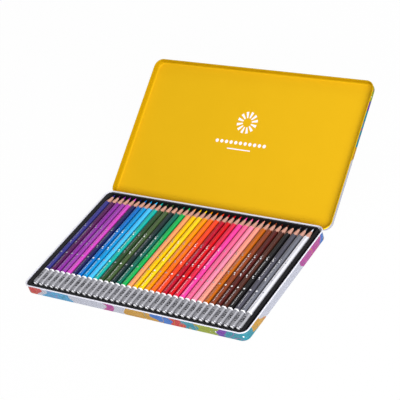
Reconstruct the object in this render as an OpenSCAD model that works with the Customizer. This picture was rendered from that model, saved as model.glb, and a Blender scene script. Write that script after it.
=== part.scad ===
// Pencil tin: a hinged tinplate case with a corrugated tray of hexagonal coloured pencils.
// Millimetres. Origin at the centre of the underside, X to the right along the row, Y to the
// back where the hinge is, Z up. The lid is drawn at lid_open degrees from closed, which lays
// the edge of its panel just over the table.

/* [Case] */
// Length of the base over its bead
base_w = 322; // [318:1:335]
// Depth of the base over its bead, front to back
base_d = 188; // [188:1:194]
// Height of the base to the top of its bead
base_h = 13.8; // [13.7:0.1:14]
// Thickness of the tinplate
sheet = 0.35; // [0.3:0.01:0.4]
// Radius of the base's upright corners over the bead
corner_r = 10; // [8:0.5:14]
// Outside radius of the bend between the base's walls and its floor
base_bend = 1.2; // [1:0.1:1.3]
// Diameter of the bead curled round the base's edge
bead_d = 1.6; // [1.6:0.1:2]

/* [Lid] */
// Angle between the open lid and the closed one
lid_open = 149; // [0:1:149]
// Height of the closed lid's outer face above the ground
lid_top = 16.2; // [15.9:0.1:16.2]
// Height of the closed lid's lowest edge above the ground
lid_mouth = 7.3; // [7.2:0.1:7.6]
// Outside radius of the bend between the lid's panel and its walls
lid_bend = 3; // [2.6:0.1:3.5]
// Gap between the base's bead and the lid's wall
lid_gap = 0.35; // [0.32:0.01:0.6]
// Diameter of the curl round the lid's edge
curl_d = 1.4; // [1.2:0.1:1.6]

/* [Hinges] */
// Distance of each hinge's middle from the case's middle
hinge_x = 96; // [60:1:130]
// Height of the hinge pins above the ground
hinge_z = 6.8; // [6.8:0.1:7.2]
// Diameter of the hinge wire
pin_d = 1.6; // [1.4:0.1:1.8]
// Radial clearance of the wire in the lid's knuckle
turning_gap = 0.06; // [0.03:0.01:0.09]
// Radial clearance of the wire in the base's knuckles
holding_gap = 0.02; // [0.01:0.01:0.05]
// Length of the lid's knuckle
lid_knuckle = 14; // [10:1:20]
// Length of each of the base's two knuckles
base_knuckle = 8; // [5:1:12]
// Gap between two knuckles, end to end
knuckle_gap = 0.4; // [0.3:0.05:0.8]
// Length of wire that stands out at each end
pin_proud = 0.5; // [0:0.1:1]

/* [Tray] */
// Thickness of the formed plastic sheet
tray_sheet = 0.5; // [0.4:0.05:0.6]
// Height of the tray's flat rim above the ground
tray_rim = 13.2; // [12.2:0.1:13.3]
// Height of the ridges between the pencils
tray_ridge = 10.6; // [9.6:0.1:10.7]
// Gap between the tray's flat rim and the base's left wall
left_margin = 1; // [1:0.1:2]
// Gap between the tray's flat rim and the base's right wall, where a fingertip lifts it
right_margin = 3.2; // [1:0.1:3.4]
// Gap between the tray's flat rim and the base's front and back walls
end_margin = 1; // [1:0.1:1.2]
// Outward flare of the tray's skirt from its rim to its foot
tray_flare = 0.2; // [0.1:0.1:0.2]
// Radius of the tray's upright corners
tray_corner = 7.4; // [7.2:0.1:8]
// Gap between pieces that lie on each other
rest_gap = 0.3; // [0.25:0.01:0.4]

/* [Pencils] */
// Distance between the middles of two neighbouring pencils
pitch = 8.4; // [8.2:0.05:8.5]
// Length of a pencil
pencil_len = 175; // [172:1:175]
// Width across the flats of the barrel
across_flats = 7; // [6.8:0.05:7]
// Diameter over the barrel's rounded edges
across_edges = 7.95; // [7.5:0.05:7.95]
// Diameter of the coloured lead
lead_d = 3.3; // [2.5:0.1:3.5]
// Length from the tip to where the flats begin
cone_len = 14.5; // [11:0.1:18]
// Radius of the blunt tip
tip_r = 0.25; // [0.2:0.05:0.6]
// Radius of the rounded end opposite the tip
end_r = 4.5; // [4.2:0.1:9]
// Height of the pencils' axes above the ground
pencil_z = 11.6; // [11.6:0.05:11.8]
// Gap between the pencils' rounded ends and the tray's front wall
end_gap = 2.4; // [1:0.1:2.8]
// Gap between the pencils' tips and the tray's back wall
tip_gap = 0.4; // [0.3:0.05:0.6]

/* [Hidden] */
$fn = 64;
slack = 1; // how far a cut reaches past the face that it opens

// name and colour of each pencil, from the left to the right
PENCILS = [
    ["indigo", "#38328c"], ["plum", "#561a58"], ["purple", "#8a2aa0"], ["lilac", "#a040b0"],
    ["magenta", "#e048ce"], ["navy", "#161a54"], ["royal_blue", "#0c6ec8"], ["cerulean", "#0e9ce0"],
    ["sky_blue", "#48ccff"], ["teal", "#14beb2"], ["dark_olive", "#284424"], ["olive", "#465f34"],
    ["green_black", "#122a2c"], ["pine_green", "#106c58"], ["green", "#14bc58"], ["apricot", "#ffac70"],
    ["golden_yellow", "#ffce00"], ["yellow", "#ffe018"], ["amber", "#ffa000"], ["orange", "#ff7414"],
    ["vermilion", "#ff4820"], ["crimson", "#c81436"], ["red", "#e81220"], ["scarlet", "#f0203c"],
    ["hot_pink", "#ff42b4"], ["pink", "#ff74a8"], ["light_pink", "#ff9cbe"], ["peach", "#ffac94"],
    ["ochre", "#d06c14"], ["chestnut", "#a04420"], ["maroon", "#602020"], ["dark_brown", "#562e24"],
    ["black", "#1c1a1c"], ["dark_grey", "#504e5a"], ["grey", "#747680"], ["white", "#f2f2f8"]
];
count = len(PENCILS);
function two_digits(n) = n < 10 ? str("0", n) : str(n);
function pencil_node(i) = str("pencil_", two_digits(i + 1), "_", PENCILS[i][0]);

// base: half lengths to the corner centres, and the wall's faces measured from a corner centre
base_hx = base_w / 2 - corner_r;
base_hy = base_d / 2 - corner_r;
bead_r = bead_d / 2;
wall_in = corner_r - bead_d;
wall_out = wall_in + sheet;
wall_y = base_hy + wall_out; // outer face of the back wall
bead_z = base_h - bead_r;

// lid, closed: it has the base's corner centres
lid_in = corner_r + lid_gap;
lid_out = lid_in + sheet;
curl_r = curl_d / 2;
curl_z = lid_mouth + curl_r;

// hinge: the lid's wall runs down tangent to its knuckle's outside
knuckle_r = pin_d / 2 + turning_gap + sheet;
hinge_y = base_hy + lid_in + knuckle_r;
hinge_len = lid_knuckle + 2 * base_knuckle + 2 * knuckle_gap;
notch_gap = 0.4; // free play of the lid's edge round a hinge
notch_len = hinge_len + 2 * (pin_proud + notch_gap);
notch_top = max(hinge_z + knuckle_r, lid_mouth + curl_d) + notch_gap;
strap_angle = 45; // the base's tongue rises at this angle from the wall to the wire
base_roll_end = 250; // where the base's tongue ends round the wire
lid_roll_end = 115; // where the lid's tongue ends round the wire
strap_foot_y = wall_y - sheet / 2;
// height where the tongue's lower face enters the wall
strap_foot_z = hinge_z - knuckle_r * sin(strap_angle)
    - (hinge_y + knuckle_r * cos(strap_angle) - strap_foot_y) * tan(strap_angle);
window_bottom = strap_foot_z + sheet / cos(strap_angle) + 0.1;
window_top = base_h - bead_d - 0.5; // a strip of wall stays between window and bead

// pencils
pencil_y0 = 1 - pencil_len / 2; // the row lies a little to the back of the middle
taper = (across_flats / 2 - tip_r) / cone_len; // radius gained per millimetre from the tip
barrel_r = across_edges / 2;
glue = 0.02; // gap round the lead

// tray
tray_foot = sheet + rest_gap;
tray_x = (left_margin - right_margin) / 2; // the tray sits against the left side
tray_hx = base_hx + wall_in - (left_margin + right_margin) / 2 - tray_corner;
tray_hy = base_hy + wall_in - end_margin - tray_corner;
seat_z = pencil_z - across_flats / 2 - rest_gap; // top of the channels' floor
flank = 30; // lean of the ridges' sides from upright, parallel to the pencils' lower flats
ridge_half = 0.4; // half width of a ridge's flat top
front_stop = pencil_y0 - end_gap;
back_stop = pencil_y0 + pencil_len + tip_gap;

function pencil_x(i) = (i - (count - 1) / 2) * pitch;
function direction(angle, r) = [r * cos(angle), r * sin(angle)];

// ---- shared forms -------------------------------------------------------------------------

// Sweeps a section round a rounded rectangle. The section's x is measured outwards from the
// corner centres, which are at half_x and half_y; its y is the height.
module sweep_round(half_x, half_y) {
    for (corner = [0 : 3]) {
        sx = corner == 0 || corner == 3 ? 1 : -1;
        sy = corner < 2 ? 1 : -1;
        translate([sx * half_x, sy * half_y, 0])
            rotate([0, 0, 90 * corner]) rotate_extrude(angle = 90) children();
    }
    for (turn = [0, 180]) {
        rotate([0, 0, turn]) translate([half_x, half_y, 0])
            rotate([90, 0, 0]) linear_extrude(2 * half_y) children();
        rotate([0, 0, turn + 90]) translate([half_y, half_x, 0])
            rotate([90, 0, 0]) linear_extrude(2 * half_x) children();
    }
}

// Flat plate between the corner centres
module middle_plate(half_x, half_y, z, thickness) {
    translate([-half_x, -half_y, z]) cube([2 * half_x, 2 * half_y, thickness]);
}

// Half of a pressed pan's outline, from its middle to its wall, with a rounded lower edge
module pan_outline(reach, bend, height) {
    square([reach - bend, height]);
    translate([0, bend]) square([reach, height - bend]);
    translate([reach - bend, bend]) circle(bend);
}

// Section of a pan pressed from sheet
module pan_section(reach, bend, height) {
    difference() {
        pan_outline(reach, bend, height);
        translate([-slack, sheet]) square([reach - bend + slack, height]);
        translate([-slack, bend]) square([reach - sheet + slack, height]);
        translate([reach - bend, bend]) circle(bend - sheet);
    }
}

// Section of an open curl of sheet, cut away from angle a0 to a1
module curl_section(r_out, r_in, a0, a1) {
    difference() {
        circle(r_out);
        circle(r_in);
        polygon([[0, 0], direction(a0, 3 * r_out), direction((a0 + a1) / 2, 3 * r_out),
                 direction(a1, 3 * r_out)]);
    }
}

// Extrudes a section, given as [y, z], along X about the middle x
module along_x(x, length) {
    translate([x - length / 2, 0, 0])
        rotate([90, 0, 90]) linear_extrude(length) children();
}

// Puts its children at both hinges
module at_hinges() {
    for (side = [-1, 1]) translate([side * hinge_x, 0, 0]) children();
}

// Turns the closed lid's shape to the angle at which it stands
module lid_turned() {
    translate([0, hinge_y, hinge_z]) rotate([-lid_open, 0, 0])
        translate([0, -hinge_y, -hinge_z]) children();
}

// ---- base ---------------------------------------------------------------------------------

module base_section() {
    pan_section(wall_out, base_bend, bead_z);
    translate([corner_r - bead_r, bead_z])
        curl_section(bead_r, bead_r - sheet, 180, 255);
}

// Tongue that comes out of the back wall and is rolled round the wire
module base_tongue() {
    reach = knuckle_r * cos(strap_angle);
    lap = 0.1; // the tongue's straight part runs this far along the roll
    outer = [hinge_y + reach, hinge_z - reach] + direction(strap_angle, lap);
    inner = outer + direction(strap_angle + 90, sheet);
    foot = [strap_foot_y, strap_foot_z];
    translate([hinge_y, hinge_z])
        curl_section(knuckle_r, pin_d / 2 + holding_gap, base_roll_end, 360 - strap_angle);
    polygon([outer, inner, foot + [0, sheet / cos(strap_angle)], foot]);
}

module base_shell() {
    color("#f4f2fa") {
        difference() {
            union() {
                sweep_round(base_hx, base_hy) base_section();
                middle_plate(base_hx, base_hy, 0, sheet);
            }
            at_hinges() for (side = [-1, 1])
                translate([side * (lid_knuckle + base_knuckle + 2 * knuckle_gap) / 2 - base_knuckle / 2,
                           wall_y - slack, window_bottom])
                    cube([base_knuckle, 2 * slack, window_top - window_bottom]);
        }
        at_hinges() for (side = [-1, 1])
            along_x(side * (lid_knuckle + base_knuckle + 2 * knuckle_gap) / 2, base_knuckle) base_tongue();
    }
}

// ---- lid ----------------------------------------------------------------------------------

module lid_section() {
    translate([0, lid_top]) mirror([0, 1]) pan_section(lid_out, lid_bend, lid_top - curl_z);
    translate([lid_in + curl_r, curl_z]) curl_section(curl_r, curl_r - sheet, 105, 180);
}

// Tongue that runs down from the back wall and is rolled round the wire
module lid_tongue() {
    translate([hinge_y - knuckle_r, hinge_z]) square([sheet, notch_top - hinge_z]);
    translate([hinge_y, hinge_z]) curl_section(knuckle_r, knuckle_r - sheet, lid_roll_end, 180);
}

module lid_shell() {
    color("#ecb81c") lid_turned() {
        difference() {
            union() {
                sweep_round(base_hx, base_hy) lid_section();
                middle_plate(base_hx, base_hy, lid_top - sheet, sheet);
            }
            at_hinges()
                translate([-notch_len / 2, base_hy + lid_in - slack, lid_mouth - slack])
                    cube([notch_len, 2 * slack + curl_d, notch_top - lid_mouth + slack]);
        }
        at_hinges() along_x(0, lid_knuckle) lid_tongue();
    }
}

// ---- hinge wires --------------------------------------------------------------------------

module hinge_pin(side) {
    color("#b8bcc2") along_x(side * hinge_x, hinge_len + 2 * pin_proud)
        translate([hinge_y, hinge_z]) circle(pin_d / 2);
}

// ---- tray ---------------------------------------------------------------------------------

// Outline of the tray's side, from its middle out to its flared skirt
module tray_side(inset) {
    edge = 0.6; // rounding of the rim's outer edge, as two chamfers
    foot = inset > 0 ? tray_foot - slack : tray_foot;
    top = tray_rim - inset;
    lean = tray_flare / (tray_rim - tray_foot);
    side = tray_corner - inset;
    polygon([
        [0, foot], [side + lean * (tray_rim - foot), foot],
        [side + lean * edge, top - edge], [side - 0.3 * edge, top - 0.3 * edge],
        [side - edge, top], [0, top]
    ]);
}

// Body under the tray's upper face; with an inset it is the space below the sheet
module tray_body(inset) {
    foot = inset > 0 ? tray_foot - slack : tray_foot;
    translate([tray_x, 0, 0]) {
        sweep_round(tray_hx, tray_hy) tray_side(inset);
        middle_plate(tray_hx, tray_hy, foot, tray_rim - inset - foot);
    }
}

// Space over the channels: a wave of seats and ridges, grown by the sheet for its lower face
module channels(grow) {
    spread = grow / cos(flank) - grow * tan(flank); // sideways shift of a flank at equal depth
    floor_z = seat_z - grow;
    ridge_z = tray_ridge - grow;
    ridge_x = ridge_half - spread;
    floor_x = pitch / 2 - ridge_x - (ridge_z - floor_z) * tan(flank);
    end_x = floor_x + (tray_rim + slack - floor_z) * tan(flank);
    wave = [for (i = [0 : count - 1]) each [
        if (i > 0) [pencil_x(i) - pitch / 2 + ridge_x, ridge_z],
        [pencil_x(i) - floor_x, floor_z],
        [pencil_x(i) + floor_x, floor_z],
        if (i < count - 1) [pencil_x(i) + pitch / 2 - ridge_x, ridge_z]
    ]];
    far = pencil_x(count - 1) + end_x;
    translate([0, back_stop + grow, 0]) rotate([90, 0, 0])
        linear_extrude(back_stop - front_stop + 2 * grow)
            polygon(concat([[-far, tray_rim + slack]], wave, [[far, tray_rim + slack]]));
}

module pencil_tray() {
    color("#202024") difference() {
        tray_body(0);
        channels(0);
        difference() {
            tray_body(tray_sheet);
            channels(tray_sheet);
        }
    }
}

// ---- pencils ------------------------------------------------------------------------------

// Height over the rounded end at which the sharpened cone has this radius
function height_at(r) = pencil_len - (r - tip_r) / taper;

// Wooden casing: a six-sided barrel with rounded edges, a domed end and a sharpened cone whose
// cut leaves a scalloped edge on the paint
module casing() {
    bore = lead_d / 2;
    difference() {
        intersection() {
            linear_extrude(pencil_len) circle(across_flats / 2 / cos(30), $fn = 6);
            rotate_extrude() intersection() {
                polygon([[0, 0], [barrel_r, 0], [barrel_r, height_at(barrel_r)],
                         [bore, height_at(bore)], [0, height_at(bore)]]);
                union() {
                    translate([0, end_r]) circle(end_r);
                    translate([0, end_r]) square([2 * end_r, pencil_len]);
                }
            }
        }
        translate([0, 0, end_r]) cylinder(h = pencil_len, r = bore);
    }
}

// Lead: a round core that comes out of the casing as a blunt cone
module lead() {
    r = lead_d / 2 - glue;
    rotate_extrude() polygon([
        [0, end_r + glue], [r, end_r + glue], [r, height_at(r)],
        [tip_r, pencil_len - 0.3], [tip_r / 2, pencil_len], [0, pencil_len]
    ]);
}

module pencil(i) {
    color(PENCILS[i][1]) translate([pencil_x(i), pencil_y0, pencil_z]) rotate([-90, 0, 0]) {
        casing();
        lead();
    }
}

base_shell();
lid_shell();
hinge_pin(-1);  // hinge_pin_left
hinge_pin(1);  // hinge_pin_right
pencil_tray();
for (i = [0 : count - 1]) pencil(i);
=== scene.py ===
"""Looks of the pencil tin: printed tinplate, lacquered lid, black tray and 36 painted pencils.

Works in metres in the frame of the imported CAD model. Lengths below are in millimetres and
are turned into metres where geometry or a material uses them.
"""
import math

import bpy
from mathutils import Matrix, Vector


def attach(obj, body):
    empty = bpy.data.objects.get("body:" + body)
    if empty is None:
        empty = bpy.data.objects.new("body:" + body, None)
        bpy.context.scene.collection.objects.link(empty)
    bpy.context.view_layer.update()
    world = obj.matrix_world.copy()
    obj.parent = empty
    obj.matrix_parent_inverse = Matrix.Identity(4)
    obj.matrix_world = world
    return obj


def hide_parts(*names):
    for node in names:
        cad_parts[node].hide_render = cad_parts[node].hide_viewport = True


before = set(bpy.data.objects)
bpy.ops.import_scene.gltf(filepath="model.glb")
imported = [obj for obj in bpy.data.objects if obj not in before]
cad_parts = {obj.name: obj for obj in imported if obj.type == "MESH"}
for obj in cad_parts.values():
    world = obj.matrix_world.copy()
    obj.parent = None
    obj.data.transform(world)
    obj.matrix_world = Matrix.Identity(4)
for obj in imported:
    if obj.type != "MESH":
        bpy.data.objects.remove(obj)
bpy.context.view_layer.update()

MM = 0.001

# ---- sizes shared with the CAD model, in mm -----------------------------------------------

CORNER = (151.0, 84.0)  # corner centres of base and lid
SHEET = 0.35  # thickness of base and lid
# bends of the base's floor and of the closed lid's top: outside radius, and the line that
# they turn round, as its distance out from the corner centres and its Z
BASE_BEND, BASE_BEND_OUT, BASE_BEND_Z = 1.2, 7.55, 1.2
LID_BEND, LID_BEND_OUT, LID_BEND_Z = 3.0, 7.7, 13.2
HINGE = (95.56, 6.8)  # hinge axis, Y and Z
LID_OPEN = 149.0  # degrees from closed
PITCH = 8.4  # between two pencils
PENCIL_START = -86.5  # Y of the rounded ends
PENCIL_AXIS = 11.6  # Z
PENCIL_LENGTH = 175.0
HALF_FLATS = 3.5  # half the width across the barrel's flats
EDGE_ROUNDING = 1.2  # radius of the barrel's long edges
CAP_ROUNDING = 2.3  # the same on the cap, whose thick coat is rounder
LEAD_RADIUS = 1.3  # as the photograph shows it; the solids' core is thicker
TIP_RADIUS = 0.25
CONE_LENGTH = 16.2  # from the tip to where the flats begin, a little more than the solids'
TAPER = (HALF_FLATS - TIP_RADIUS) / CONE_LENGTH

# name and colour of each pencil, from the left to the right
PENCILS = [
    ("indigo", "#343283"), ("plum", "#521652"), ("purple", "#882b9c"), ("lilac", "#983ca8"),
    ("magenta", "#d247c2"), ("navy", "#161a54"), ("royal_blue", "#086cc0"),
    ("cerulean", "#0c94d6"), ("sky_blue", "#43c1ff"), ("teal", "#12b2a8"),
    ("dark_olive", "#2a4727"), ("olive", "#455c35"), ("green_black", "#122a2c"),
    ("pine_green", "#0e6a58"), ("green", "#12b054"), ("apricot", "#fba165"),
    ("golden_yellow", "#ffc300"), ("yellow", "#ffd216"), ("amber", "#fe9600"),
    ("orange", "#ff6f13"), ("vermilion", "#f94522"), ("crimson", "#b80c28"),
    ("red", "#d30e1a"), ("scarlet", "#e02548"), ("hot_pink", "#fd41a2"), ("pink", "#fb6695"),
    ("light_pink", "#ff8dac"), ("peach", "#ff9d89"), ("ochre", "#c06211"),
    ("chestnut", "#883f22"), ("maroon", "#531b17"), ("dark_brown", "#4f2a21"),
    ("black", "#141214"), ("dark_grey", "#4f4e5a"), ("grey", "#6f717c"), ("white", "#e1e1ea"),
]


def linear(hex_colour):
    """Linear colour with alpha of an sRGB one such as #ffcc00."""
    channels = [int(hex_colour[i:i + 2], 16) / 255 for i in (1, 3, 5)]
    return (*[c / 12.92 if c <= 0.04045 else ((c + 0.055) / 1.055) ** 2.4 for c in channels], 1)


# ---- material graphs ----------------------------------------------------------------------

class Graph:
    """A node material under construction. Its methods add a node and return its output."""

    def __init__(self, name, **settings):
        self.material = bpy.data.materials.new(name)
        self.material.use_nodes = True
        self.tree = self.material.node_tree
        self.shader = self.tree.nodes["Principled BSDF"]
        for key, value in settings.items():
            self.set(key.replace("_", " ").capitalize(), value)

    def set(self, key, value):
        """Sets one of the shader's inputs to a value or feeds it an output."""
        names = {k.lower(): k for k in self.shader.inputs.keys()}
        self.feed(self.shader.inputs[names[key.lower()]], value)

    def feed(self, socket, value):
        if isinstance(value, bpy.types.NodeSocket):
            self.tree.links.new(value, socket)
        else:
            socket.default_value = value

    def node(self, kind, *inputs, **settings):
        """Adds a node; inputs fill its sockets in their order, and None leaves one alone."""
        made = self.tree.nodes.new("ShaderNode" + kind)
        for key, value in settings.items():
            setattr(made, key, value)
        for socket, value in zip(made.inputs, inputs):
            if value is not None:
                self.feed(socket, value)
        return made

    def math(self, operation, *values):
        return self.node("Math", *values, operation=operation).outputs[0]

    def position(self):
        """Place in the piece's own coordinates, in mm."""
        place = self.node("TexCoord").outputs["Object"]
        scale = self.node("VectorMath", place, operation="SCALE")
        scale.inputs["Scale"].default_value = 1 / MM
        return scale.outputs[0]

    def split(self, vector):
        return self.node("SeparateXYZ", vector).outputs

    def stretched(self, vector, x, y, z):
        return self.node("VectorMath", vector, (x, y, z), operation="MULTIPLY").outputs[0]

    def noise(self, vector, scale, detail=2.0, roughness=0.5):
        """Noise from 0 to 1. The scale is how many of its grains lie on a mm of the vector."""
        made = self.node("TexNoise")
        for key, value in (("Vector", vector), ("Scale", scale), ("Detail", detail),
                           ("Roughness", roughness)):
            self.feed(made.inputs[key], value)
        return made.outputs[0]

    def smooth(self, value, low, high, to_low=0.0, to_high=1.0):
        """Passes softly from to_low to to_high while the value goes from low to high."""
        made = self.node("MapRange", value, low, high, to_low, to_high,
                         interpolation_type="SMOOTHSTEP")
        return made.outputs[0]

    def ramp(self, value, stops, interpolation="CONSTANT"):
        """Colour of a value, from stops that are each a place from 0 to 1 and a colour."""
        made = self.node("ValToRGB", value)
        band = made.color_ramp
        band.interpolation = interpolation
        while len(band.elements) > 1:
            band.elements.remove(band.elements[-1])
        band.elements[0].position, band.elements[0].color = stops[0]
        for place, colour in stops[1:]:
            band.elements.new(place).color = colour
        return made.outputs[0]

    def mix(self, share, first, second, blend="MIX"):
        made = self.node("Mix", data_type="RGBA", blend_type=blend)
        self.feed(made.inputs[0], share)
        self.feed(made.inputs[6], first)
        self.feed(made.inputs[7], second)
        return made.outputs[2]

    def bump(self, height, distance, strength=1.0):
        """Feeds a bump whose height is in mm into the shader's normal."""
        made = self.node("Bump")
        for key, value in (("Height", height), ("Distance", distance * MM),
                           ("Strength", strength)):
            self.feed(made.inputs[key], value)
        self.set("Normal", made.outputs[0])


def outside_corners(g, x, y):
    """Distance in mm, seen from above, out from the rectangle of corner centres."""
    over = [g.math("MAXIMUM", g.math("SUBTRACT", g.math("ABSOLUTE", v), c), 0.0)
            for v, c in ((x, CORNER[0]), (y, CORNER[1]))]
    squares = [g.math("MULTIPLY", v, v) for v in over]
    return g.math("SQRT", g.math("ADD", *squares))


def round_distance(g, out, down, out_centre, down_centre):
    """Distance in mm from the line round which a sheet's outer bend turns."""
    a = g.math("MAXIMUM", g.math("SUBTRACT", out, out_centre), 0.0)
    b = g.math("MAXIMUM", g.math("SUBTRACT", down, down_centre), 0.0)
    return g.math("SQRT", g.math("ADD", g.math("MULTIPLY", a, a), g.math("MULTIPLY", b, b)))


# ---- print on base and lid ----------------------------------------------------------------

BASE_PRINT_Z = (0.25, 12.15)  # lower and upper edge of the print on the base's walls
BASE_PRINT_OUT = 5.5  # where it starts on the underside, out from the corner centres
LID_PRINT_Z = 8.8  # lower edge of the print on the closed lid's walls
LID_RUN = (0.55, 0.8)  # how the lid's print runs over its panel, along X and Y
LID_GRAIN = 0.6  # grains per mm in the lid's print, as a share of the base's
# where the closed lid's inside passes from the other walls' painted shade to the hinge wall's
# painted light, and to the panel
HINGE_WALL_Y, LID_PANEL_Z = (89.0, 92.0), (14.5, 15.8)
PRINT = {
    "ground": "#a3a5b1", "gold": "#a87c10", "lime": "#7a8814", "teal": "#107686",
    "magenta": "#96267c", "blue": "#1e5ca4", "red": "#a81e18", "violet": "#58268a",
    "sky": "#3884ac",
}
# painted patches along the run of the print: colour and width in mm
PATCHES = [
    ("lime", 34), ("violet", 12), ("teal", 38), ("gold", 18), ("ground", 100),
    ("magenta", 34), ("blue", 30), ("red", 20), ("ground", 14), ("sky", 44), ("ground", 40),
    ("magenta", 16), ("ground", 24), ("gold", 46), ("blue", 24), ("red", 14), ("teal", 20),
]
SWAY, FRAY = 60.0, 2.4  # how far a patch's edge can sway and fray, from side to side in mm
CONTOURS = 7.0  # contour strokes from the lowest to the highest noise
CELLS, CELL_DOT = 0.14, 0.14  # cells per mm, and the radius of a dot as a share of one
DOTTED = 0.3  # share of the cells that have a dot


def patch_paint(g, place, run):
    """Colour of the painted patches, with swaying and frayed edges, and 1 where one is."""
    total = sum(width for _, width in PATCHES)
    swaying = g.noise(g.stretched(place, 1.0, 1.0, 3.0), 0.02, 1.0)
    sway = g.math("MULTIPLY", g.math("SUBTRACT", swaying, 0.5), SWAY)
    fray = g.math("MULTIPLY", g.math("SUBTRACT", g.noise(place, 0.5, 3.0), 0.5), FRAY)
    line = g.math("ADD", run, g.math("ADD", sway, fray))
    share = g.math("FRACT", g.math("DIVIDE", g.math("ADD", line, total), float(total)))
    stops, reached = [], 0
    for name, width in PATCHES:
        stops.append((reached / total, linear(PRINT[name])))
        reached += width
    painted = g.ramp(share, [(at, (0, 0, 0, 1) if name == "ground" else (1, 1, 1, 1))
                             for (at, _), (name, _) in zip(stops, PATCHES)])
    return g.ramp(share, stops), painted


def bristle_streaks(g, colour, painted, run, across):
    """The colour with pale and deep streaks along the painted strokes."""
    streak = g.noise(g.node("CombineXYZ", g.math("MULTIPLY", run, 0.05), across,
                            g.math("MULTIPLY", run, 0.01)).outputs[0], 1.6, 2.0)
    pale = g.math("MULTIPLY", painted, g.smooth(streak, 0.5, 0.72, 0.0, 0.15))
    colour = g.mix(pale, colour, linear("#c0b8c4"))
    deep = g.math("MULTIPLY", painted, g.smooth(streak, 0.28, 0.45, 0.3, 0.0))
    return g.mix(deep, colour, linear("#403060"))


def contour_strokes(g, colour, painted, place):
    """The colour with thin contour strokes of a second colour inside the patches."""
    lines = g.math("FRACT", g.math("MULTIPLY", g.noise(place, 0.045, 1.0), CONTOURS))
    contour = g.math("LESS_THAN", g.math("ABSOLUTE", g.math("SUBTRACT", lines, 0.5)), 0.05)
    other = g.ramp(g.noise(place, 0.018, 0.0), [
        (0.0, linear(PRINT["gold"])), (0.47, linear(PRINT["teal"])),
        (0.55, linear(PRINT["magenta"]))])
    return g.mix(g.math("MULTIPLY", g.math("MULTIPLY", contour, painted), 0.6), colour, other)


def sprinkled_dots(g, colour, painted, place):
    """The colour with small pale dots on a part of the cells of the patches."""
    cells = g.node("TexVoronoi", feature="F1")
    g.feed(cells.inputs["Vector"], place)
    g.feed(cells.inputs["Scale"], CELLS)
    near = g.math("LESS_THAN", cells.outputs["Distance"], CELL_DOT)
    chosen = g.math("GREATER_THAN", g.split(cells.outputs["Color"])[0], 1 - DOTTED)
    dots = g.math("MULTIPLY", g.math("MULTIPLY", near, chosen), painted)
    return g.mix(dots, colour, linear("#f6f0f8"))


def artwork(g, place, run, across):
    """Abstract painted patches, strokes and dots. run goes along the print and across over
    it, both in mm."""
    colour, painted = patch_paint(g, place, run)
    colour = bristle_streaks(g, colour, painted, run, across)
    colour = contour_strokes(g, colour, painted, place)
    return sprinkled_dots(g, colour, painted, place)


def base_print():
    """Gloss white tinplate, printed on the walls' outside up to the bead."""
    g = Graph("base_print", roughness=0.3, specular_ior_level=0.4)
    place = g.position()
    x, y, z = g.split(place)
    out = outside_corners(g, x, y)
    down = g.math("MULTIPLY", z, -1.0)
    skin = round_distance(g, out, down, BASE_BEND_OUT, -BASE_BEND_Z)
    outer = g.math("GREATER_THAN", skin, BASE_BEND - SHEET / 2)
    lower, upper = BASE_PRINT_Z
    band = g.math("MULTIPLY", g.math("LESS_THAN", z, upper), g.math("GREATER_THAN", z, lower))
    printed = g.math("MULTIPLY", g.math("MULTIPLY", outer, band),
                     g.math("GREATER_THAN", out, BASE_PRINT_OUT))
    art = artwork(g, place, g.math("ADD", x, y), z)
    white = g.mix(g.noise(place, 0.3), linear("#dcdce6"), linear("#d4d4e0"))
    g.set("Base Color", g.mix(printed, white, art))
    g.bump(g.noise(place, 0.08, 2.0), 0.06)
    return g.material


def lid_print():
    """Yellow lacquer inside with a plain white motif in its middle, and a print outside. The
    place is turned shut first, so that the artwork follows the closed lid."""
    g = Graph("lid_lacquer", roughness=0.4, specular_ior_level=0.012)
    opened = g.position()
    turned = g.node("VectorRotate", opened, (0.0, HINGE[0], HINGE[1]), rotation_type="X_AXIS")
    turned.inputs["Angle"].default_value = math.radians(LID_OPEN)
    place = turned.outputs[0]
    x, y, z = g.split(place)
    out = outside_corners(g, x, y)
    skin = round_distance(g, out, z, LID_BEND_OUT, LID_BEND_Z)
    outer = g.math("MULTIPLY", g.math("GREATER_THAN", skin, LID_BEND - SHEET / 2),
                   g.math("GREATER_THAN", z, LID_PRINT_Z))
    run = g.math("ADD", g.math("MULTIPLY", x, LID_RUN[0]), g.math("MULTIPLY", y, LID_RUN[1]))
    enlarged = g.stretched(place, LID_GRAIN, LID_GRAIN, LID_GRAIN)
    art = artwork(g, enlarged, run, g.math("SUBTRACT", x, y))
    # painted shade and light: the walls are painted darker than the panel, and the hinge's wall is
    # painted lighter than the others against the shadow there
    panel = g.mix(g.noise(place, 0.02), linear("#daab16"), linear("#deae18"))
    walls = g.mix(g.smooth(y, *HINGE_WALL_Y), linear("#bc9608"), linear("#ffd014"))
    yellow = g.mix(g.smooth(z, *LID_PANEL_Z), walls, panel)
    colour = g.mix(motif(g, x, y), yellow, linear("#f4f0fa"))
    g.set("Base Color", g.mix(outer, colour, art))
    g.bump(g.noise(place, 0.05, 2.0), 0.08)
    return g.material


# plain motif inside the lid, in mm; heights are up from the panel's middle as the lid stands
STROKES, STROKE_SHARE = 12, 0.48  # strokes of the ring, and the share of it that they cover
RING_HEIGHT, RING_RADIUS, RING_WIDTH = 26.0, 10.5, 8.4
DOTS_HEIGHT, DOTS_LENGTH, DOT_STEP, DOT_RADIUS = -2.0, 76.0, 7.0, 2.3
BAR_HEIGHT, BAR_LENGTH, BAR_WIDTH = -10.5, 34.0, 1.4


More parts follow.
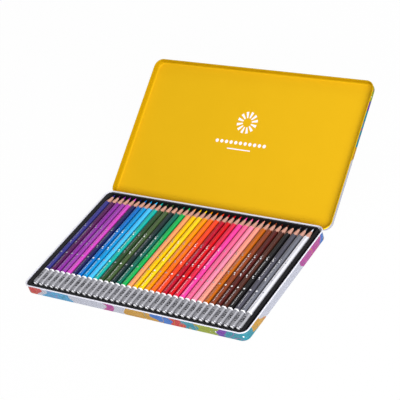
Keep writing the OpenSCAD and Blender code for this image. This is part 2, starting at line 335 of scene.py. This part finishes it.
def motif(g, x, y):
    """Share of white ink: a ring of strokes over a row of dots and a thin bar."""
    def within(value, middle, width):
        """1 where the value is less than half the width from the middle."""
        return g.math("LESS_THAN", g.math("ABSOLUTE", g.math("SUBTRACT", value, middle)), width / 2)

    def distance(a, b):
        return g.math("SQRT", g.math("ADD", g.math("MULTIPLY", a, a), g.math("MULTIPLY", b, b)))

    height = g.math("MULTIPLY", y, -1.0)
    over_ring = g.math("SUBTRACT", height, RING_HEIGHT)
    turn = g.math("MULTIPLY", g.math("ARCTAN2", over_ring, x), STROKES / (2 * math.pi))
    stroke = within(g.math("FRACT", g.math("ADD", turn, STROKES)), 0.5, STROKE_SHARE)
    ring = g.math("MULTIPLY", stroke, within(distance(x, over_ring), RING_RADIUS, RING_WIDTH))

    # the whole steps keep the number over 0, and the half puts a dot in the middle
    steps = g.math("ADD", g.math("DIVIDE", x, DOT_STEP), 50 + 0.5)
    across = g.math("MULTIPLY", g.math("SUBTRACT", g.math("FRACT", steps), 0.5), DOT_STEP)
    off = distance(across, g.math("SUBTRACT", height, DOTS_HEIGHT))
    dots = g.math("MULTIPLY", g.math("LESS_THAN", off, DOT_RADIUS), within(x, 0.0, DOTS_LENGTH))

    bar = g.math("MULTIPLY", within(x, 0.0, BAR_LENGTH), within(height, BAR_HEIGHT, BAR_WIDTH))
    return g.math("MAXIMUM", g.math("MAXIMUM", ring, dots), bar)


# ---- plastic, wire, paint, wood and ink ---------------------------------------------------

def tray_plastic():
    """Black vacuum-formed plastic with a fine grain."""
    g = Graph("tray_plastic", roughness=0.42, specular_ior_level=0.08)
    place = g.position()
    g.set("Base Color", g.mix(g.noise(place, 0.6, 3.0), linear("#121215"), linear("#19191c")))
    g.set("Roughness", g.smooth(g.noise(place, 1.4, 3.0), 0.3, 0.7, 0.36, 0.5))
    g.bump(g.noise(place, 2.2, 3.0), 0.03)
    return g.material


def hinge_wire():
    """Steel wire with the fine lines of its drawing along it."""
    g = Graph("hinge_wire", metallic=1.0, roughness=0.28)
    place = g.position()
    drawn = g.noise(g.stretched(place, 0.05, 4.0, 4.0), 3.0)
    g.set("Base Color", g.mix(drawn, linear("#b4b6bc"), linear("#d8dade")))
    g.bump(drawn, 0.01)
    return g.material


PAINTED_GAP_SHADE_Z = (0.6, 2.4)  # heights over the axis between which painted shade darkens a barrel's colour downwards
PAINTED_CAP_SHADE_Z = (HALF_FLATS - 0.8, HALF_FLATS - 0.05)  # and painted shade darkens the cap's upwards, to its upper flat's
PAINTED_SHOULDER_SHADE = (0.9, 2.6)  # distances from the rounded end between which its painted shade ends


def barrel_paint(name, hex_colour):
    """Gloss paint with faint streaks along the barrel."""
    g = Graph("paint_" + name, roughness=0.25, specular_ior_level=0.18)
    place = g.position()
    streak = g.noise(g.stretched(place, 1.0, 0.03, 1.0), 2.5)
    colour = linear(hex_colour)
    deeper = (*[c * 0.96 for c in colour[:3]], 1)
    upper = g.mix(streak, colour, deeper)
    # painted shade: the lower half is painted darker, so that the gaps between the barrels read as
    # dark as in the photo
    low = g.smooth(g.split(place)[2], *PAINTED_GAP_SHADE_Z, 0.8, 0.0)
    g.set("Base Color", g.mix(low, upper, (*[c * 0.2 for c in colour[:3]], 1)))
    g.bump(g.noise(g.stretched(place, 1.0, 0.15, 1.0), 1.2), 0.025)
    return g.material


def coloured_lead(name, hex_colour):
    """Waxy lead, a little lighter than the barrel's paint in places."""
    g = Graph("lead_" + name, roughness=0.5, specular_ior_level=0.1)
    place = g.position()
    colour = linear(hex_colour)
    waxy = (*[min(1.0, c * 1.15) for c in colour[:3]], 1)
    g.set("Base Color", g.mix(g.noise(place, 3.0, 3.0), colour, waxy))
    g.bump(g.noise(g.stretched(place, 1.0, 3.0, 1.0), 3.0), 0.05)
    return g.material


def cap_silver():
    """Silver coat, with painted shade on the upper flat and on the shoulder of the rounded end."""
    g = Graph("cap_silver", metallic=0.6, roughness=0.34)
    place = g.position()
    silver = g.mix(g.noise(place, 6.0, 2.0), linear("#acacb2"), linear("#b6b6bc"))
    # painted shade: the upper flat is painted a darker silver
    flat = g.smooth(g.split(place)[2], *PAINTED_CAP_SHADE_Z)
    shaded = g.mix(flat, silver, linear("#828288"))
    # painted shade: the shoulder of the rounded end is painted a darker grey
    shoulder = g.smooth(g.split(place)[1], *PAINTED_SHOULDER_SHADE, 1.0, 0.0)
    g.set("Base Color", g.mix(shoulder, shaded, linear("#77777d")))
    g.bump(g.noise(place, 1.5, 2.0), 0.02)
    return g.material


def white_ring_and_painted_highlight():
    """White coat of the ring beside the cap, also painted in the middle of the rounded end as a
    highlight.
    """
    g = Graph("white_ring_and_painted_highlight", roughness=0.3, specular_ior_level=0.5)
    g.set("Base Color", g.mix(g.noise(g.position(), 1.5), linear("#fcfcff"), linear("#f6f5fa")))
    return g.material


def bare_wood():
    """Sharpened basswood: grain along the pencil, fine marks of the blade round the cone."""
    g = Graph("bare_wood", roughness=0.62, specular_ior_level=0.15)
    place = g.position()
    own = g.node("ObjectInfo").outputs["Random"]
    shifted = g.node("VectorMath", place, operation="ADD")
    g.feed(shifted.inputs[1], g.node("CombineXYZ", g.math("MULTIPLY", own, 90.0)).outputs[0])
    grain = g.noise(g.stretched(shifted.outputs[0], 1.0, 0.12, 1.0), 2.4, 4.0, 0.6)
    wood = g.ramp(grain, [(0.2, linear("#c79080")), (0.5, linear("#d5a191")),
                          (0.8, linear("#dbac9b"))], "LINEAR")
    g.set("Base Color", g.mix(g.math("MULTIPLY", own, 0.35), wood, linear("#cd9482")))
    cuts = g.noise(g.stretched(place, 0.3, 5.0, 0.3), 1.6, 2.0)
    g.bump(cuts, 0.06)
    return g.material


def foil_ink(name, light, deep):
    """Metal foil pressed on the paint."""
    g = Graph("foil_" + name, metallic=0.7, roughness=0.25)
    g.set("Base Color", g.mix(g.noise(g.position(), 2.0), linear(light), linear(deep)))
    return g.material


def number_ink():
    """Near-black ink on the silver cap."""
    g = Graph("number_ink", roughness=0.5, specular_ior_level=0.1)
    g.set("Base Color", g.mix(g.noise(g.position(), 2.0), linear("#141418"), linear("#202026")))
    return g.material


# ---- pencils ------------------------------------------------------------------------------

FLAT_STEPS = 3  # stretches on each half of a flat
EDGE_TURNS = (20, 40)  # where the points of a rounded edge lie, in degrees from the flat


def hexagon(rounding):
    """Points (x, z) in mm round a barrel with flats up and down and rounded long edges."""
    core = HALF_FLATS - rounding
    half = core * math.tan(math.radians(30))
    points = []
    for side in range(6):
        facing = math.radians(90 + 60 * side)
        normal = Vector((math.cos(facing), math.sin(facing)))
        along = Vector((-normal.y, normal.x))
        points += [normal * HALF_FLATS + along * (half * t / FLAT_STEPS)
                   for t in range(-FLAT_STEPS, FLAT_STEPS + 1)]
        corner = normal * core + along * half
        for turn in EDGE_TURNS:
            angle = facing + math.radians(turn)
            points.append(corner + Vector((math.cos(angle), math.sin(angle))) * rounding)
    return points


# the ring's material also gives the painted highlight in the middle of the rounded end
CAP, RING_AND_PAINTED_HIGHLIGHT, BARREL, WOOD, LEAD, FOIL, NUMBER = range(7)
DOME = 2.2  # length of the rounded end
DOME_STEPS = (20, 38, 54, 68, 80, 90)  # its rings, in degrees from its middle
PAINTED_HIGHLIGHT_EDGE = 38  # the one of them at which the painted highlight, white in the middle of the end, stops
CAP_END, RING_END = 23.8, 25.6  # how far cap and white ring reach from the rounded end
EDGE_STEP = 0.1  # length over which one coat steps down to the next
BARREL_RINGS = (60, 95, 130, 155)  # where the long faces of the barrel are divided
CONE_SHARES = (0.0, 0.25, 0.5, 0.75)  # the same on the wood, between the paint and the lead
LEAD_RINGS = (LEAD_RADIUS, 1.2, 0.8, 0.45, TIP_RADIUS)  # radii of the rings of the lead
CAP_COAT, RING_COAT = 0.06, 0.1  # how far cap and ring stand over the barrel's paint
PAINT = 0.06  # step from the paint to the bare wood
BLUNT = 0.15  # length of the lead's rounded tip


def height_at(radius):
    """Distance from the rounded end at which the sharpened cone has this radius."""
    return PENCIL_LENGTH - (radius - TIP_RADIUS) / TAPER


def pencil_rings():
    """Rings of a pencil from its rounded end to its tip. Each is a list of pairs, a point (x, z)
    and its distance from the rounded end in mm, and the material of the faces up to the next."""
    outline, cap = hexagon(EDGE_ROUNDING), hexagon(CAP_ROUNDING)
    scallop = [height_at(p.length) for p in outline]

    def ring(height, around=outline, grow=0.0, material=BARREL):
        return [(p * (1 + grow / HALF_FLATS), height) for p in around], material

    rings = []
    for degrees in DOME_STEPS:
        s, c = math.sin(math.radians(degrees)), math.cos(math.radians(degrees))
        points = [p.normalized() * s * ((1 - s) * HALF_FLATS + s * p.length)
                  * (1 + CAP_COAT / HALF_FLATS) for p in cap]
        # painted highlight: the middle of the rounded end takes the ring's white
        material = RING_AND_PAINTED_HIGHLIGHT if degrees < PAINTED_HIGHLIGHT_EDGE else CAP
        rings.append(([(p, DOME * (1 - c)) for p in points], material))
    rings.append(ring(CAP_END - EDGE_STEP, cap, CAP_COAT, CAP))
    rings.append(ring(CAP_END, cap, RING_COAT, RING_AND_PAINTED_HIGHLIGHT))
    rings.append(ring(RING_END - EDGE_STEP, cap, RING_COAT, RING_AND_PAINTED_HIGHLIGHT))
    rings.append(ring(RING_END))
    rings += [ring(h) for h in BARREL_RINGS]
    rings.append(([(p, h) for p, h in zip(outline, scallop)], BARREL))
    for share in CONE_SHARES:
        points = []
        for p, h in zip(outline, scallop):
            start, end = p.length - PAINT, LEAD_RADIUS
            radius = start + (end - start) * share
            points.append((p.normalized() * radius, h + (height_at(end) - h) * share))
        rings.append((points, WOOD))
    for radius in LEAD_RINGS:
        rings.append(([(p.normalized() * radius, height_at(radius) - BLUNT) for p in outline], LEAD))
    rings.append(([(p.normalized() * TIP_RADIUS / 2, PENCIL_LENGTH) for p in outline], LEAD))
    return rings


def block(x, y, width, length, top, depth=0.1):
    """Corners and faces of a low closed block on the upper flat, in mm."""
    corners = [(x + sx * width / 2, y + sy * length / 2, z)
               for z in (top - depth, top) for sx, sy in ((-1, -1), (1, -1), (1, 1), (-1, 1))]
    faces = [(3, 2, 1, 0), (4, 5, 6, 7), (0, 1, 5, 4), (1, 2, 6, 5), (2, 3, 7, 6), (3, 0, 4, 7)]
    return corners, faces


def pellet(x, y, radius, top, depth=0.1, sides=12):
    """A low closed round dot on the upper flat, in mm."""
    turns = [2 * math.pi * k / sides for k in range(sides)]
    corners = [(x + radius * math.cos(turn), y + radius * math.sin(turn), z)
               for z in (top - depth, top) for turn in turns]
    faces = [tuple(reversed(range(sides))), tuple(range(sides, 2 * sides))]
    faces += [(k, (k + 1) % sides, sides + (k + 1) % sides, sides + k) for k in range(sides)]
    return corners, faces


INK = 0.02  # how far foil and ink stand over the coat below them
FOIL_HEIGHT = HALF_FLATS + INK
# foil dots: distance from the rounded end, place across the flat, and radius
FOIL_DOTS = ((57.5, 0.0, 1.2), (76.0, 0.5, 0.75), (78.6, -0.4, 1.0), (108.5, 0.4, 1.0),
             (111.2, -0.5, 0.75), (113.4, 0.3, 0.5))
# rows of fine foil strokes: first and last distance from the rounded end, and width across
FOIL_ROWS = ((30.0, 53.5, 1.2), (82.5, 105.5, 1.5))
FOIL_STEP, FOIL_STROKE = 0.92, 0.45  # from one stroke to the next, and a stroke's own extent


def foil_marks():
    """Plain dots and rows of short strokes of uneven length, pressed into the upper flat."""
    marks = [pellet(x, y, radius, FOIL_HEIGHT) for y, x, radius in FOIL_DOTS]
    for first, last, width in FOIL_ROWS:
        for k in range(int((last - first) / FOIL_STEP)):
            if k % 8 == 6:  # every eighth stroke is left out
                continue
            share = 0.65 + 0.35 * math.cos(2.4 * k)
            off = 0.1 * math.cos(3.7 * k)
            marks.append(block(off, first + k * FOIL_STEP, width * share, FOIL_STROKE,
                               FOIL_HEIGHT))
    return marks


# pencils whose foil marks get a painted glint, whiter as if they caught the light; on the others the
# foil is painted a darker grey, as if in shade
PAINTED_GLINT_FOIL = {"royal_blue", "cerulean", "teal", "olive", "pine_green", "yellow", "vermilion",
               "red", "scarlet", "hot_pink", "chestnut", "maroon", "dark_brown", "black",
               "dark_grey", "grey"}
NUMBER_PLACE = (0.5, 12.4)  # the number's middle: across, and from the rounded end
NUMBER_SIZE, NUMBER_BOLD = 5.0, 0.14  # height of its line, and how much bolder it is
NUMBER_HALF = 0.05  # half its thickness
BAR_OFF, BARS_WIDE, BARS_LONG = 4.1, 2.6, 1.3  # the bars before and behind it


def number_mesh(text):
    """Corners and faces of a low closed number on the cap's upper flat, in mm."""
    curve = bpy.data.curves.new("number", "FONT")
    curve.body = text
    curve.size = NUMBER_SIZE
    curve.extrude = NUMBER_HALF
    curve.offset = NUMBER_BOLD
    curve.resolution_u = 3
    curve.align_x, curve.align_y = "CENTER", "CENTER"
    holder = bpy.data.objects.new("number", curve)
    bpy.context.scene.collection.objects.link(holder)
    mesh = bpy.data.meshes.new_from_object(holder.evaluated_get(
        bpy.context.evaluated_depsgraph_get()))
    middle = HALF_FLATS + CAP_COAT + INK - NUMBER_HALF
    across, along = NUMBER_PLACE
    corners = [(across - v.co.y, along + v.co.x, middle + v.co.z) for v in mesh.vertices]
    faces = [tuple(p.vertices) for p in mesh.polygons]
    bpy.data.objects.remove(holder)
    bpy.data.curves.remove(curve)
    bpy.data.meshes.remove(mesh)
    return corners, faces


SHARP = 28  # degrees between two faces from which the edge between them looks sharp


def pencil_mesh(name, number, materials):
    """Mesh of a whole pencil in metres, with its axis along Y and its rounded end at 0."""
    rings = pencil_rings()
    count = len(rings[0][0])
    corners, faces, kinds = [], [], []
    for points, _ in rings:
        corners += [(p.x, h, p.y) for p, h in points]
    for k, (_, kind) in enumerate(rings[:-1]):
        for i in range(count):
            j = (i + 1) % count
            a, b = k * count, (k + 1) * count
            faces.append((a + i, b + i, b + j, a + j))
            kinds.append(kind)
    # the rounded end's middle point takes the ring's white as part of the painted highlight; the
    # tip's takes the lead
    for first, y, kind, forward in ((0, 0.0, RING_AND_PAINTED_HIGHLIGHT, True),
                                    ((len(rings) - 1) * count, PENCIL_LENGTH, LEAD, False)):
        centre = len(corners)
        corners.append((0.0, y, 0.0))
        for i in range(count):
            pair = (first + i, first + (i + 1) % count)
            faces.append((centre, *pair) if forward else (centre, *reversed(pair)))
            kinds.append(kind)

    def add(part, kind):
        start = len(corners)
        corners.extend(part[0])
        faces.extend(tuple(start + v for v in face) for face in part[1])
        kinds.extend([kind] * len(part[1]))

    for mark in foil_marks():
        add(mark, FOIL)
    add(number_mesh(number), NUMBER)
    across, along = NUMBER_PLACE
    for side in (-1, 1):
        add(block(across, along + side * BAR_OFF, BARS_WIDE, BARS_LONG,
                  HALF_FLATS + CAP_COAT + INK), NUMBER)

    mesh = bpy.data.meshes.new(name)
    mesh.from_pydata([tuple(c * MM for c in corner) for corner in corners], [], faces)
    for material in materials:
        mesh.materials.append(material)
    mesh.polygons.foreach_set("material_index", kinds)
    mesh.shade_smooth()
    mesh.set_sharp_from_angle(angle=math.radians(SHARP))
    mesh.update()
    return mesh


def make_pencils():
    """Puts a painted pencil in the place of each CAD one."""
    cap, ring, wood, ink = cap_silver(), white_ring_and_painted_highlight(), bare_wood(), number_ink()
    # painted light: one copy of the foil is painted near-white as a glint, the other darker grey as
    # shade
    painted_glint, painted_unlit = foil_ink("painted_glint", "#fdfdff", "#eeeef4"), foil_ink("painted_unlit", "#a8a8b0", "#94949e")
    for i, (name, colour) in enumerate(PENCILS):
        node = f"pencil_{i + 1:02d}_{name}"
        materials = [cap, ring, barrel_paint(name, colour), wood, coloured_lead(name, colour),
                     painted_glint if name in PAINTED_GLINT_FOIL else painted_unlit, ink]
        mesh = pencil_mesh("painted_" + node, f"{i + 1:02d}", materials)
        piece = bpy.data.objects.new("painted_" + node, mesh)
        bpy.context.scene.collection.objects.link(piece)
        x = (i - (len(PENCILS) - 1) / 2) * PITCH
        piece.location = (x * MM, PENCIL_START * MM, PENCIL_AXIS * MM)
        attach(piece, node)
        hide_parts(node)


# ---- carried-over CAD nodes ---------------------------------------------------------------

def dress_cad_nodes():
    """Gives the CAD meshes that aren't replaced their materials."""
    wire = hinge_wire()
    for node, material in (("base_shell", base_print()), ("lid_shell", lid_print()),
                           ("pencil_tray", tray_plastic()), ("hinge_pin_left", wire),
                           ("hinge_pin_right", wire)):
        mesh_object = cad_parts[node]
        mesh_object.data.materials.clear()
        mesh_object.data.materials.append(material)


# ---- camera, light and floor --------------------------------------------------------------

# the photograph's camera, fitted to the tin's edges
AZIMUTH, ELEVATION, ROLL = 43.2, 34.7, -18.59  # degrees
TARGET = (-36.85, 117.47, 0.0)  # what the middle of the picture looks at, in mm
DISTANCE = 1874.06  # from there to the camera, in mm
FOCAL_PIXELS, PICTURE_PIXELS = 1503.6, 400
SENSOR = 36.0  # width in mm


def add_camera():
    """The photograph's camera. Its roll turns it round its own line of sight."""
    azimuth, elevation, roll = (math.radians(a) for a in (AZIMUTH, ELEVATION, ROLL))
    back = Vector((math.sin(azimuth) * math.cos(elevation),
                   -math.cos(azimuth) * math.cos(elevation), math.sin(elevation)))
    right = Vector((math.cos(azimuth), math.sin(azimuth), 0))
    up = back.cross(right)
    x_axis = right * math.cos(roll) + up * math.sin(roll)
    y_axis = up * math.cos(roll) - right * math.sin(roll)
    data = bpy.data.cameras.new("camera")
    data.sensor_width = SENSOR
    data.lens = SENSOR * FOCAL_PIXELS / PICTURE_PIXELS
    data.clip_start, data.clip_end = 0.1, 20.0
    camera = bpy.data.objects.new("camera", data)
    bpy.context.scene.collection.objects.link(camera)
    place = Vector(TARGET) * MM + back * DISTANCE * MM
    turned = Matrix((x_axis, y_axis, back)).transposed().to_4x4()
    camera.matrix_world = Matrix.Translation(place) @ turned
    bpy.context.scene.camera = camera


# softboxes: name, direction that the light comes from, its distance, width and height in
# metres, and how brightly it lights a surface that faces it, as a share of full white
SOFTBOXES = (
    ("top_light", (-0.35, -0.1, 1.0), 1.6, 1.2, 0.9, 0.14),
    ("back_light", (0.21, 0.6, 0.77), 1.6, 0.45, 0.45, 0.12),
    ("rear_light", (-0.2, 0.97, 0.16), 2.2, 1.6, 0.8, 0.32),
    ("right_light", (0.64, -0.54, 0.4), 2.6, 2.2, 1.2, 1.48),
)
WORLD_SHARE = 0.17  # light from all round, as a share of full white
FLOOR_GLOW = 0.97  # how much of the floor, seen directly, is its own white
FLOOR_SIZE, FLOOR_Z = 12.0, -0.1  # its width in metres, and its height in mm


def add_softbox(name, direction, distance, width, height, share):
    """An area light. A white surface that faces it is lit to this share of full white."""
    data = bpy.data.lights.new(name, "AREA")
    data.shape = "RECTANGLE"
    data.size, data.size_y = width, height
    data.energy = share * math.pi ** 2 * distance ** 2
    light = bpy.data.objects.new(name, data)
    bpy.context.scene.collection.objects.link(light)
    away = Vector(direction).normalized()
    light.location = away * distance
    light.rotation_mode = "QUATERNION"
    light.rotation_quaternion = away.to_track_quat("Z", "Y")


def seen_directly(tree):
    """1 where the camera, a mirror or glass looks at the surface, and 0 for other rays."""
    path = tree.nodes.new("ShaderNodeLightPath")
    total = None
    for key in ("Is Camera Ray", "Is Glossy Ray", "Is Transmission Ray"):
        if total is None:
            total = path.outputs[key]
            continue
        add = tree.nodes.new("ShaderNodeMath")
        add.operation, add.use_clamp = "ADD", True
        tree.links.new(total, add.inputs[0])
        tree.links.new(path.outputs[key], add.inputs[1])
        total = add.outputs[0]
    return total


def add_world(level):
    """White all round: at full strength where it is seen directly, and at this level as light."""
    world = bpy.data.worlds.new("studio")
    bpy.context.scene.world = world
    world.use_nodes = True
    tree = world.node_tree
    background = tree.nodes["Background"]
    background.inputs["Color"].default_value = (1, 1, 1, 1)
    strength = tree.nodes.new("ShaderNodeMapRange")
    tree.links.new(seen_directly(tree), strength.inputs["Value"])
    strength.inputs["To Min"].default_value = level
    strength.inputs["To Max"].default_value = 1.0
    tree.links.new(strength.outputs[0], background.inputs["Strength"])


def add_floor():
    """White paper floor. Seen directly it is mostly its own white, so that the shadow is faint."""
    half = FLOOR_SIZE / 2
    mesh = bpy.data.meshes.new("floor")
    mesh.from_pydata([(-half, -half, 0), (half, -half, 0), (half, half, 0), (-half, half, 0)],
                     [], [(0, 1, 2, 3)])
    floor = bpy.data.objects.new("floor", mesh)
    floor.location.z = FLOOR_Z * MM
    bpy.context.scene.collection.objects.link(floor)
    material = bpy.data.materials.new("white_paper")
    material.use_nodes = True
    tree = material.node_tree
    paper = tree.nodes["Principled BSDF"]
    paper.inputs["Base Color"].default_value = (0.9, 0.9, 0.9, 1)
    paper.inputs["Roughness"].default_value = 0.9
    glow = tree.nodes.new("ShaderNodeEmission")
    glow.inputs["Color"].default_value = (1, 1, 1, 1)
    share = tree.nodes.new("ShaderNodeMath")
    share.operation = "MULTIPLY"
    tree.links.new(seen_directly(tree), share.inputs[0])
    share.inputs[1].default_value = FLOOR_GLOW
    mix = tree.nodes.new("ShaderNodeMixShader")
    tree.links.new(share.outputs[0], mix.inputs[0])
    tree.links.new(paper.outputs[0], mix.inputs[1])
    tree.links.new(glow.outputs[0], mix.inputs[2])
    tree.links.new(mix.outputs[0], tree.nodes["Material Output"].inputs["Surface"])
    mesh.materials.append(material)


add_camera()
add_world(WORLD_SHARE)
add_floor()
for softbox in SOFTBOXES:
    add_softbox(*softbox)
dress_cad_nodes()
make_pencils()
bpy.context.scene.view_settings.view_transform = "Standard"
